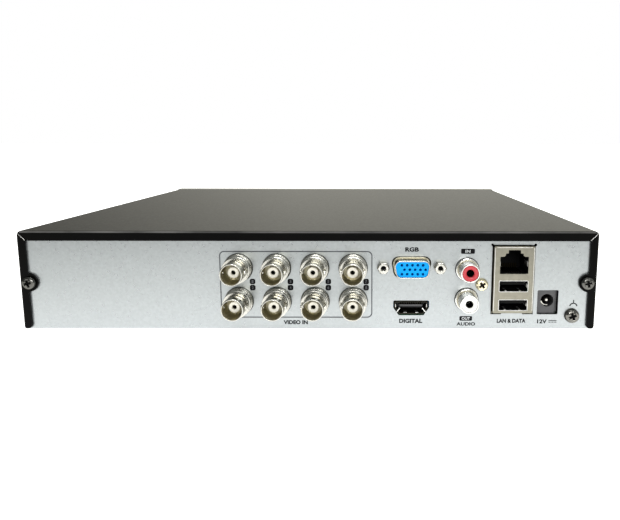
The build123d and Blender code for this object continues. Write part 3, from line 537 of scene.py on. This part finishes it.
def video_jacks():
    barrel, lug, sides = jack_barrel()
    for node, (x, z) in zip(JACK_NODES, JACK_PLACES):
        parts = [(barrel, put(x, 0, z))] + [(lug, put(x, LUG_Y, z, side)) for side in sides]
        piece(f"{node}_barrel", parts, ("nickel", "bore", "shadow"), slot="jack_nickel",
              stands_for=(node,))
    floor = SOCKET_FLOOR
    insulator = lathe(((1.05, floor), (2.45, floor), (2.45, 9.8), (2.2, 10.1), (1.05, 10.1)))
    contact = lathe(((0.65, floor), (1.05, floor), (1.05, 8.9), (0.9, 9.1), (0.65, 9.1)), 0.03, 40)
    pit = lathe(((0, floor), (0.64, floor), (0.64, 6.0), (0, 6.0)), 0.02, 24)
    piece("jack_insulators", [(insulator, put(x, 0, z)) for x, z in JACK_PLACES], ("insulator",),
          slot="white_plastic", stands_for=("video_jack_insulators",))
    sockets = [(part, put(x, 0, z)) for x, z in JACK_PLACES for part in (contact, pit)]
    piece("jack_contacts", sockets, ("shadow",), slot="contact_gold",
          stands_for=("video_jack_contacts",))


# ---- Phono jacks ----

def phono_jacks():
    """Bright barrels, each lined with a coloured sleeve that has the centre hole; the groove at
    each barrel's base and the inside of each hole are painted shade.
    """
    mouth = 9.0
    places = [middle("audio_in_insert"), middle("audio_out_insert")]
    barrel = lathe((
        (0, -1.2), (5.15, -1.2), (5.15, 0.9), (4.85, 1.2), (4.6, 1.2, 1), (4.6, 0.7),
        (4.15, 0.7, 0), (4.15, mouth - 0.25), (3.9, mouth), (3.55, mouth), (3.55, 0), (0, 0),
    ))
    insert = lathe((
        (0, 0), (3.53, 0), (3.53, mouth - 0.4), (3.3, mouth - 0.15), (2.05, mouth - 0.3),
        (1.65, mouth - 0.7, 1), (1.65, 1.0), (0, 1.0),
    ), 0.06)
    piece("phono_barrels", [(barrel, put(x, 0, z)) for x, z in places], ("phono", "bore"),
          slot="jack_nickel", stands_for=("audio_jack_barrels",))
    for node, key in (("audio_in_insert", "red"), ("audio_out_insert", "white")):
        x, z = middle(node)
        piece(f"{node}_sleeve", [(insert, put(x, 0, z))], (key, "deep"), slot=f"{key}_plastic",
              stands_for=(node,))


# ---- Monitor port ----

def monitor_outline(width, height, radius):
    """Rounded D shape, wide at the top, with sides that slope by ten degrees."""
    inset = height * math.tan(math.radians(10))
    half, tall = width / 2, height / 2
    upper = [(-half, tall), (half, tall)]
    lower = [(half - inset, -tall), (inset - half, -tall)]
    return rounded(upper + lower, radius, 8)


def monitor_port():
    """Flanged shell round a moulding with three rows of pin holes, and its two hexagonal posts."""
    x, z = middle("monitor_port_jackscrews")
    mouth, screw_x = 6.0, 12.5
    width, height, sheet = 16.3, 7.9, 0.5
    inside = monitor_outline(width - 2 * sheet, height - 2 * sheet, 2.1)
    screw_holes = [circle(side * screw_x, 0, 1.75) for side in (-1, 1)]
    flange_edge = oblong(around(0, 31), around(0, 12.4), 1.5)
    # The flange is painted shadow, and the collar round the shell's root takes the painted-shade
    # nickel of the bores.
    flange = plate([flange_edge, inside, *screw_holes], (-1.9, -1.0), number=1)
    collar = plate([monitor_outline(width + 1.2, height + 1.2, 3.1), inside], (-1.0, -0.3), 0.2, 2)
    tube = plate([monitor_outline(width, height, 2.6), inside], (-1.05, mouth), 0.16)
    dimple = lathe(((0, 0), (0.62, 0), (0.62, 0.16), (0.45, 0.26), (0, 0.3)), 0.04, 20)
    dimples = []
    for side, spread in ((-1, 3.4), (1, 4.2)):
        outward = Matrix.Rotation(side * QUARTER, 3, "X")
        level = z + side * (height / 2 - 0.12)
        dimples += [(dimple, put(x + across, 1.5, level, outward)) for across in (-spread, spread)]
    piece("monitor_shell", [(part, put(x, 0, z)) for part in (flange, collar, tube)] + dimples,
          ("nickel", "shadow", "bore"), slot="jack_nickel", stands_for=("monitor_port_shell",))

    pitch, row_pitch, hole = 2.29, 1.98, 0.58
    holes = [(column * pitch - (0 if row else pitch / 2), row * row_pitch)
             for row in (-1, 0, 1) for column in (-2, -1, 0, 1, 2)]
    front = mouth - 0.35
    inner = monitor_outline(width - 2 * sheet - 0.04, height - 2 * sheet - 0.04, 2.1)
    face = plate([inner, *[circle(a, b, hole, 20) for a, b in holes]], (front - 4.5, front), 0.08)
    # The floor behind the face is a darker blue, painted shade that darkens the pin holes.
    floor = plate([inner], (-1.9, front - 4.4), 0.02, 1)
    back = brick(around(0, 30), (-9.9, -1.95), (-8.6, 6.2), 0.4)
    lead = brick(around(0, 28), (-16.9, -6.9), (-12.7, -2.1), 0.4)
    foot = brick(around(0, 28), (-16.9, -12.9), (-22.0, -6.0), 0.4)
    piece("monitor_insert", [(part, put(x, 0, z)) for part in (face, floor, back, lead, foot)],
          ("blue", "socket"), slot="blue_plastic", stands_for=("monitor_port_insert",))

    nut_corner, nut_front = 2.77, 3.4
    nut = plate([circle(0, 0, nut_corner, 6)], (PANEL, nut_front), 0.05)
    # The thread inside each post takes the black of painted shade.
    thread = [(1.0 + 0.12 * (step % 2), 3.1 - 0.25 * step, 1) for step in range(11)]
    outside = [(0, -1), (3.2, -1), (3.2, 2.6), (2.1, nut_front), (1.35, nut_front)]
    crown = lathe([*outside, *thread, (0, 0.4)], 0.04, 48)
    nut = soften(cut(nut, crown, "INTERSECT"), 0.06)
    shank = lathe(((0, -4.9), (1.42, -4.9), (1.42, 0), (0, 0)), 0.1, 32)
    places = [put(x + side * screw_x, 0, z) for side in (-1, 1)]
    piece("monitor_jackscrews", [(part, place) for place in places for part in (nut, shank)],
          ("nickel", "deep"), slot="jack_nickel", stands_for=("monitor_port_jackscrews",))


# ---- Digital port ----

def digital_outline(gap):
    """The panel's opening, made smaller all round by a gap."""
    half, tall, foot = 7.85 - gap, 3.25 - gap, 5.5 - gap * 0.5
    lower = [(half, 0.2), (foot, -tall), (-foot, -tall), (-half, 0.2)]
    return rounded([(-half, tall), (half, tall), *lower], 0.4)


def digital_port():
    """Shell with painted shadow inside, painted highlight strips on its upright and slanted sides,
    and two springs in its floor.
    """
    x, z = middle("digital_port_shell")
    tube = plate([digital_outline(0.4), digital_outline(0.8)], (-12.0, -0.4), 0.1, 1)
    back = plate([digital_outline(0.82)], (-11.9, -11.4), 0.05, 1)
    springs = [brick(around(across, 1.4), (-3.2, -0.7), (-2.45, -2.2), 0.06)
               for across in (-2.6, 2.6)]
    # Bright strips on the opening's upright sides, painted highlight.
    sides = [brick(around(side * 6.95, 0.3), (-3.0, -0.6), around(0.9, 1.5), 0.06)
             for side in (-1, 1)]
    # Bright strips down the slanted sides, painted highlight.
    lips = []
    for side in (-1, 1):
        lip = brick(around(0, 3.2), (-1.0, -0.32), around(0, 0.38), 0.06)
        slope = Matrix.Rotation(side * math.radians(53), 3, "Y")
        bmesh.ops.rotate(lip, matrix=slope, verts=lip.verts)
        bmesh.ops.translate(lip, vec=(side * 5.95, 0, -1.35), verts=lip.verts)
        lips.append(lip)
    parts = [tube, back, *springs, *sides, *lips]
    piece("digital_shell", [(part, put(x, 0, z)) for part in parts], ("bare_and_highlight", "shadow"),
          slot="jack_nickel", stands_for=("digital_port_shell",))
    root = plate([digital_outline(0.84)], (-11.3, -9.0), 0.1)
    tongue = brick(around(0, 10.4), (-9.1, -1.8), around(0.7, 1.0), 0.15)
    piece("digital_tongue", [(root, put(x, 0, z)), (tongue, put(x, 0, z))], ("charcoal",),
          slot="black_plastic", stands_for=("digital_port_tongue",))


# ---- Network and twin bus stack ----

BUS_ROWS = (20.3, 11.75)     # heights of the two bus openings' middles


def network_outline():
    """Plug opening with the two steps of its latch above it."""
    half = 6.2
    corners = [
        (-half, 25.9), (half, 25.9), (half, 33.55), (4.5, 33.55), (3.85, 34.2), (3.85, 35.0),
        (2.65, 35.0), (2.65, 36.5), (-2.65, 36.5), (-2.65, 35.0), (-3.85, 35.0), (-3.85, 34.2),
        (-4.5, 33.55), (-half, 33.55),
    ]
    return rounded(corners, 0.2, 3)


def port_stack():
    """Folded shield, open at the network port and at two bus ports, with its contact springs."""
    x = middle("network_usb_shield")[0]
    half, bottom, top, out, depth, sheet = 8.9, 8.0, 38.1, 2.0, -22.0, 0.4
    sides = (-1, 1)
    outline = oblong((-half, half), (bottom, top), 0.5)
    buses = [oblong((-6.3, 6.3), around(z, 4.8), 0.35) for z in BUS_ROWS]
    face = plate([outline, network_outline(), *buses], (out - sheet, out), 0.13)
    hollow = oblong((sheet - half, half - sheet), (bottom + sheet, top - sheet), 0.3)
    sleeve = plate([outline, hollow], (depth, out - 0.25), 0.1)
    rear_edge = oblong((0.1 - half, half - 0.1), (bottom, top - 0.1), 0.5)
    rear = plate([rear_edge], (depth, depth + sheet), 0.1)
    legs = [brick(around(side * (half - 0.25), 0.4), (depth + 0.2, -1.2), (6.4, 8.4), 0.05)
            for side in sides]

    # The bright rims round the bus openings are painted highlight on their rolled edges; the
    # springs are bright steel.
    rims, springs = [], []
    for z in BUS_ROWS:
        outer = oblong((-6.5, 6.5), around(z, 5.2), 0.5)
        inner = oblong((-6.25, 6.25), around(z, 4.7), 0.3)
        rims.append(plate([outer, inner], (out - 0.9, out + 0.12), 0.1, 1))
        springs += [brick(around(across, 0.9), (-4.0, out - 0.9), (z - 2.38, z - 2.1), 0.08, 1)
                    for across in (-3.2, 3.2)]
        springs += [brick(around(side * 6.1, 0.25), (-3.0, out - 0.9), around(z, 1.6), 0.06, 1)
                    for side in sides]
    springs += [brick(around(side * 6.05, 0.25), (-4.0, out - 0.8), around(30.2, 2.2), 0.06, 1)
                for side in sides]
    # Bright strips along the fold at both sides and the top, painted highlight.
    fold, width = (out - 0.1, out + 0.1), 0.34
    edges = [brick(around(side * (half - 0.35), width), fold, (9.0, top - 0.6), 0.08, 1)
             for side in sides]
    edges.append(brick((1.0 - half, half - 1.0), fold, around(top - 0.45, width), 0.08, 1))
    parts = [face, sleeve, rear, *legs, *rims, *springs, *edges]
    piece("stack_shield", [(part, put(x, 0, 0)) for part in parts], ("shield", "bare_and_highlight"),
          slot="jack_nickel", stands_for=("network_usb_shield",))


# ---- Screws ----

def threads(radius, length, pitch=0.5):
    """Shank profile from the tip up to the head."""
    points = [(0, -length), (radius * 0.7, -length)]
    turns = int((length - 0.6) / pitch)
    for turn in range(turns):
        y = -length + 0.5 + turn * pitch
        points += [(radius, y), (radius * 0.84, y + pitch / 2)]
    return points + [(radius * 0.84, 0)]


def pan_screw(head, height, shank, length, turn):
    """Domed head with a tapered cross recess turned by some degrees, standing on y = 0; the recess
    takes the second material, painted shade.
    """
    dome = [(head, 0), (head, height * 0.4), (head * 0.93, height * 0.72),
            (head * 0.72, height * 0.92), (head * 0.4, height * 0.99), (0, height)]
    body = lathe(threads(shank, length) + dome, 0.05, 48)
    for angle in (turn, turn + 90):
        blade = brick(around(0, head * 1.25), (height * 0.3, height + 1), around(0, head * 0.36),
                      0.02, 1)
        for vertex in blade.verts:
            if vertex.co.y < height:
                vertex.co.x *= 0.6
        turned = Matrix.Rotation(math.radians(angle), 3, "Y")
        bmesh.ops.rotate(blade, matrix=turned, verts=blade.verts)
        body = cut(body, blade)
    for face in body.faces:
        face.smooth = True
    return body


def panel_screws():
    """Each with its head and shank radii and lengths, its turn and the face that it stands on."""
    cover = (2.9, 2.0, 1.5, 6, 12), COVER_SHEET, "cover_screw", "black_screw_steel"
    kinds = (
        ("ground_screw", "ground_screw", (3.2, 2.2, 1.5, 6, 20), PANEL, "ground", "screw_steel"),
        ("bracket_screw", "case", (2.75, 1.9, 1.4, 6.5, 35), PANEL, "brass", "yellow_zinc"),
        ("cover_screw_left", "cover_screw_left", *cover),
        ("cover_screw_right", "cover_screw_right", *cover),
    )
    for node, body, size, y, key, slot in kinds:
        x, z = middle(node)
        parts = [(pan_screw(*size), put(x, y, z))]
        piece(f"{node}_crosshead", parts, (key, "deep"), body, slot, (node,))


# ---- Power jack ----

def power_jack():
    """Housing with a round bore, its centre pin and the spring beside it."""
    x = middle("power_jack_body")[0]
    hole_z = middle("power_jack_pin")[1]
    face, bottom, top = -1.1, 7.15, 17.85
    outline = oblong((-4.5, 4.5), (bottom, top), 0.5)
    bore = circle(0, hole_z, 2.85, 48)
    front = plate([oblong((-3.4, 4.5), (bottom, top), 0.4), bore], (face - 1.1, face), 0.12)
    block = plate([outline, bore], (face - 9.5, face - 1.0), 0.12)
    # The housing's rear, seen at the bottom of the bore, is black painted shade.
    rear = plate([outline], (face - 14.0, face - 9.45), 0.12, 1)
    stand = brick((-4.0, 4.0), (face - 13, face - 1), (6.4, bottom + 1), 0.2)
    piece("power_housing", [(part, put(x, 0, 0)) for part in (front, block, rear, stand)],
          ("charcoal", "deep"), slot="power_plastic", stands_for=("power_jack_body",))
    pin = lathe(((0, -10.6), (1.0, -10.6), (1.0, -2.5), (0.55, -1.9), (0, -1.9)), 0.08, 32)
    turn = [math.radians(190 + 8 * step) for step in range(13)]
    crescent = [(2.75 * math.cos(a), 2.75 * math.sin(a)) for a in turn]
    crescent += [(2.1 * math.cos(a), 2.1 * math.sin(a)) for a in reversed(turn)]
    spring = plate([crescent], (-8.0, -2.2), 0.08)
    mirrored = Matrix.Scale(-1, 3, (1, 0, 0))
    bmesh.ops.transform(spring, matrix=mirrored, verts=spring.verts)
    bmesh.ops.reverse_faces(spring, faces=spring.faces)
    piece("power_contacts", [(part, put(x, 0, hole_z)) for part in (pin, spring)], ("nickel",),
          slot="jack_nickel", stands_for=("power_jack_pin",))


# ---- Printed legends, placed as someone who faces the connectors reads them ----

INK = 0.05                   # thickness of one layer


def reader(points):
    """Outline points with their first value counted towards the reader's right."""
    return [(-across, up) for across, up in points]


def print_on(*outlines):
    return plate([reader(outline) for outline in outlines], (PANEL, PANEL + INK), 0)


def lettering(text, across, up, level=0, bold=0.022):
    """Words that fill a range of the reader's right and of height."""
    curve = bpy.data.curves.new("words", "FONT")
    curve.body = text
    curve.resolution_u = 3
    curve.extrude = 0.5
    curve.offset = bold
    bm = from_curve(curve)
    left, right = [pick(v.co.x for v in bm.verts) for pick in (min, max)]
    bottom, top = [pick(v.co.y for v in bm.verts) for pick in (min, max)]
    for vertex in bm.verts:
        along = across[0] + (vertex.co.x - left) / (right - left) * (across[1] - across[0])
        height = up[0] + (vertex.co.y - bottom) / (top - bottom) * (up[1] - up[0])
        vertex.co = (-along, PANEL + (level + 0.5 + vertex.co.z) * INK, height)
    return bm


def jack_frame():
    """Thin line round the video jacks."""
    (left, right), (bottom, top), corner, line = (-39.5, 28.0), (5.35, 35.7), 2.2, 0.5
    outer = oblong((left, right), (bottom, top), corner)
    inner = oblong((left + line, right - line), (bottom + line, top - line), corner - line)
    return print_on(outer, inner)


def direct_current_sign():
    """A bar over three dashes."""
    left, dash, step = 107.0, 1.0, 1.3
    bar = print_on(oblong((left, left + 3.6), (3.95, 4.25), 0.05))
    dashes = [print_on(oblong((left + step * i, left + step * i + dash), (3.2, 3.5), 0.05))
              for i in range(3)]
    return [bar, *dashes]


def earth_sign():
    """An arch with a stem standing on it."""
    x, z = 117.8, 10.75
    half_turn = [math.pi * step / 12 for step in range(13)]
    outer, inner = [[(x + wide * math.cos(a), z + tall * math.sin(a)) for a in half_turn]
                    for wide, tall in ((1.8, 1.55), (1.3, 1.05))]
    return [print_on(outer + inner[::-1]), print_on(oblong(around(x, 0.4), (11.9, 13.6), 0.05))]


def legends():
    here = put(0, 0, 0)
    piece("video_frame_line", [(jack_frame(), here)], ("grey_ink",), slot="zinc_steel")
    words = (
        ("VIDEO IN", (-11.7, -0.9), (2.3, 4.2), 0.045),
        ("RGB", (42.4, 48.4), (35.4, 37.4), 0.045),
        ("DIGITAL", (40.0, 50.4), (2.9, 4.9), 0.045),
        ("AUDIO", (65.75, 74.15), (1.7, 3.3), 0.035),
        ("LAN & DATA", (83.8, 96.7), (3.0, 4.9), 0.045),
        ("12V", (101.9, 106.2), (2.75, 4.65), 0.035),
    )
    dark = [lettering(text, across, up, bold=bold) for text, across, up, bold in words]
    dark += direct_current_sign()

    first, step, heights = -25.1, 16.77, (21.9, 19.15)
    figures = []
    for index in range(8):
        across, up = first + step * (index // 2), heights[index % 2]
        dark.append(print_on(oblong(around(across, 2.5), around(up, 2.5), 0.85)))
        figures.append(lettering(str(index + 1), around(across, 0.8), around(up, 1.4), 1))

    badges = (
        ("IN", (68.9, 71.1), (34.95, 36.3), oblong((67.0, 73.06), (34.5, 36.75), 0.5)),
        ("OUT", (68.0, 71.7), (4.4, 5.7), oblong((67.0, 72.7), (4.0, 6.1), 0.5)),
    )
    dark += [print_on(outline) for *_, outline in badges]
    pale = [lettering(text, across, up, 1) for text, across, up, _ in badges]
    dark += earth_sign()
    for name, parts, key in (("panel_legends", dark, "ink"), ("jack_figures", figures, "grey_ink"),
                             ("badge_figures", pale, "pale_ink")):
        piece(name, [(part, here) for part in parts], (key,), slot="zinc_steel")


# ---- Drive ----

def drive_label():
    """Blank white label with a bar code, stuck on the drive's lid."""
    low, high = [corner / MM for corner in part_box("drive_lid")]
    left, back, top = low.x + 8, high.y - 10, high.z
    ink = (top + 0.08, top + 0.13)
    label = brick((left, left + 40), (back - 54, back), (top - 0.05, top + 0.1), 0.04)
    bars, place = [], left + 5
    for index in range(20):
        width = (0.5, 1.1, 0.7)[index % 3]
        bars.append(brick((place, place + width), (back - 16, back - 6), ink, 0.01, 1))
        place += width + (0.6, 0.4, 0.9, 0.5)[index % 4]
    lines = [brick((left + 5, left + 34), (y - 1.5, y), ink, 0.01, 1)
             for y in (back - 22.5 - 6 * row for row in range(4))]
    scaled = Matrix.Scale(MM, 4)
    piece("drive_label", [(part, scaled) for part in (label, *bars, *lines)], ("paper", "grey_ink"))


# ---- Cover ----

def cover_seams():
    """A bright strip in the mitred corners of the rear lips, a painted highlight."""
    low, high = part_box("top_cover")
    half, top = (high.x - low.x) / 2 / MM, (high.z - BASE) / MM
    strip = brick(around(0, 0.26), (0.35, 0.93), around(0, 4.3), 0.08)
    for side, name in ((1, "left"), (-1, "right")):
        slope = Matrix.Rotation(side * math.radians(45), 3, "Y")
        parts = [(strip, put(side * (half - 2.4), 0, top - 2.6, slope))]
        piece(f"cover_seam_{name}", parts, ("bare_and_highlight",), "cover", "black_steel")


video_jacks()
phono_jacks()
monitor_port()
digital_port()
port_stack()
panel_screws()
power_jack()
legends()
cover_seams()
drive_label()


# ---- Floor, light and camera ----

LENS, SENSOR, SHIFT = 34.79, 36.0, (-0.0958, -0.0395)
CAMERA_ANGLES = (8.991, -0.233, -0.097)          # downwards, sideways and rolled, in degrees
CAMERA_FROM_LIP = Vector((-0.02557, 0.25805, 0.0836))


def camera():
    """Behind the recorder and a little above it, looking slightly down at the connectors."""
    lip = Vector((0.0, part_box("top_cover")[1].y, BASE))
    data = bpy.data.cameras.new("camera")
    data.sensor_width = SENSOR
    data.lens = LENS
    data.shift_x, data.shift_y = SHIFT
    data.clip_start = 0.01
    body = bpy.data.objects.new("camera", data)
    bpy.context.scene.collection.objects.link(body)
    pitch, yaw, roll = (math.radians(angle) for angle in CAMERA_ANGLES)
    right = Vector((-math.cos(yaw), -math.sin(yaw), 0))
    ahead = Vector((math.sin(yaw) * math.cos(pitch), -math.cos(yaw) * math.cos(pitch),
                    -math.sin(pitch)))
    turned = Matrix.Rotation(roll, 3, ahead)
    axes = turned @ right, turned @ right.cross(ahead), -ahead
    facing = Matrix(axes).transposed().to_4x4()
    body.matrix_world = Matrix.Translation(lip + CAMERA_FROM_LIP) @ facing
    bpy.context.scene.camera = body


def area_light(name, place, aim, size, power):
    data = bpy.data.lights.new(name, "AREA")
    data.shape = "RECTANGLE"
    data.size, data.size_y = size
    data.energy = power
    lamp = bpy.data.objects.new(name, data)
    lamp.location = place
    lamp.rotation_mode = "QUATERNION"
    lamp.rotation_quaternion = (Vector(aim) - Vector(place)).to_track_quat("-Z", "Y")
    bpy.context.scene.collection.objects.link(lamp)


def studio_world():
    """Plain white where the camera sees it, and uneven as light.

    The light is warm and strong from beyond the bezel, cool and weak from the connectors' side,
    weaker again from the left as the camera sees it, and weakest from below the horizon.
    """
    world = bpy.data.worlds.new("studio")
    bpy.context.scene.world = world
    world.use_nodes = True
    nodes, links = world.node_tree.nodes, world.node_tree.links
    background = nodes["Background"]
    split = nodes.new("ShaderNodeSeparateXYZ")
    links.new(nodes.new("ShaderNodeTexCoord").outputs["Generated"], split.inputs[0])

    def faded(axis, start, end, low, high):
        """From low to high as the light's direction along one axis goes from start to end."""
        node = nodes.new("ShaderNodeMapRange")
        ends = (("From Min", start), ("From Max", end), ("To Min", low), ("To Max", high))
        for name, value in ends:
            node.inputs[name].default_value = value
        links.new(split.outputs[axis], node.inputs["Value"])
        return node.outputs["Result"]

    def product(value_a, value_b):
        node = nodes.new("ShaderNodeMath")
        node.operation = "MULTIPLY"
        links.new(value_a, node.inputs[0])
        links.new(value_b, node.inputs[1])
        return node.outputs[0]

    def chosen(kind, factor, value_a, value_b):
        node = nodes.new("ShaderNodeMix")
        node.data_type = kind
        links.new(factor, node.inputs[0])
        first = 6 if kind == "RGBA" else 2
        for socket, value in zip(node.inputs[first:first + 2], (value_a, value_b)):
            if isinstance(value, bpy.types.NodeSocket):
                links.new(value, socket)
            else:
                socket.default_value = value
        return node.outputs[2 if kind == "RGBA" else 0]

    warm, cool, white = (1.0, 0.985, 0.87, 1.0), (0.96, 1.0, 1.0, 1.0), (1.0, 1.0, 1.0, 1.0)
    seen = nodes.new("ShaderNodeLightPath").outputs["Is Camera Ray"]
    from_connectors = faded("Y", -0.5, 0.7, 1.3, 0.5)
    from_left = faded("X", 0.12, 0.5, 1.0, 0.34)
    from_above = faded("Z", -0.15, 0.02, 0.3, 1.0)
    power = product(product(from_connectors, from_left), from_above)
    tint = chosen("RGBA", faded("Y", -0.3, 0.5, 0.0, 1.0), warm, cool)
    links.new(chosen("RGBA", seen, tint, white), background.inputs["Color"])
    links.new(chosen("FLOAT", seen, power, 1.0), background.inputs["Strength"])


def pale_floor():
    """Floor that ends short of the camera and glows less towards that edge."""
    half, edge, glow, edge_glow, fade = 12.0, 0.39, 1.25, 0.65, (0.125, 0.22)
    mesh = bpy.data.meshes.new("floor")
    corners = [(-half, -half, 0), (half, -half, 0), (half, edge, 0), (-half, edge, 0)]
    mesh.from_pydata(corners, [], [(0, 1, 2, 3)])
    floor = bpy.data.objects.new("floor", mesh)
    bpy.context.scene.collection.objects.link(floor)
    pale = Tree("pale_floor")
    pale.colour(pale.ramp(pale.noise(3, 2), (0.3, (0.92, 0.92, 0.92)), (0.7, (0.94, 0.94, 0.94))))
    pale.set(Roughness=0.7, Emission_Color=(1.0, 1.0, 1.0, 1.0))
    place = pale.tree.nodes.new("ShaderNodeSeparateXYZ")
    pale.link(pale.coords, place.inputs[0])
    strength = pale.spread(place.outputs[1], glow, edge_glow, *fade)
    pale.link(strength, pale.shader.inputs["Emission Strength"])
    mesh.materials.append(pale.material)


camera()
studio_world()
area_light("strip", (-0.1, 0.25, 1.1), (0, 0.1, 0), (0.9, 0.08), 4)
area_light("front", (-0.1, 0.95, 0.3), (0, 0.1, 0.02), (0.45, 0.2), 3.2)
pale_floor()
bpy.context.scene.view_settings.view_transform = "Standard"
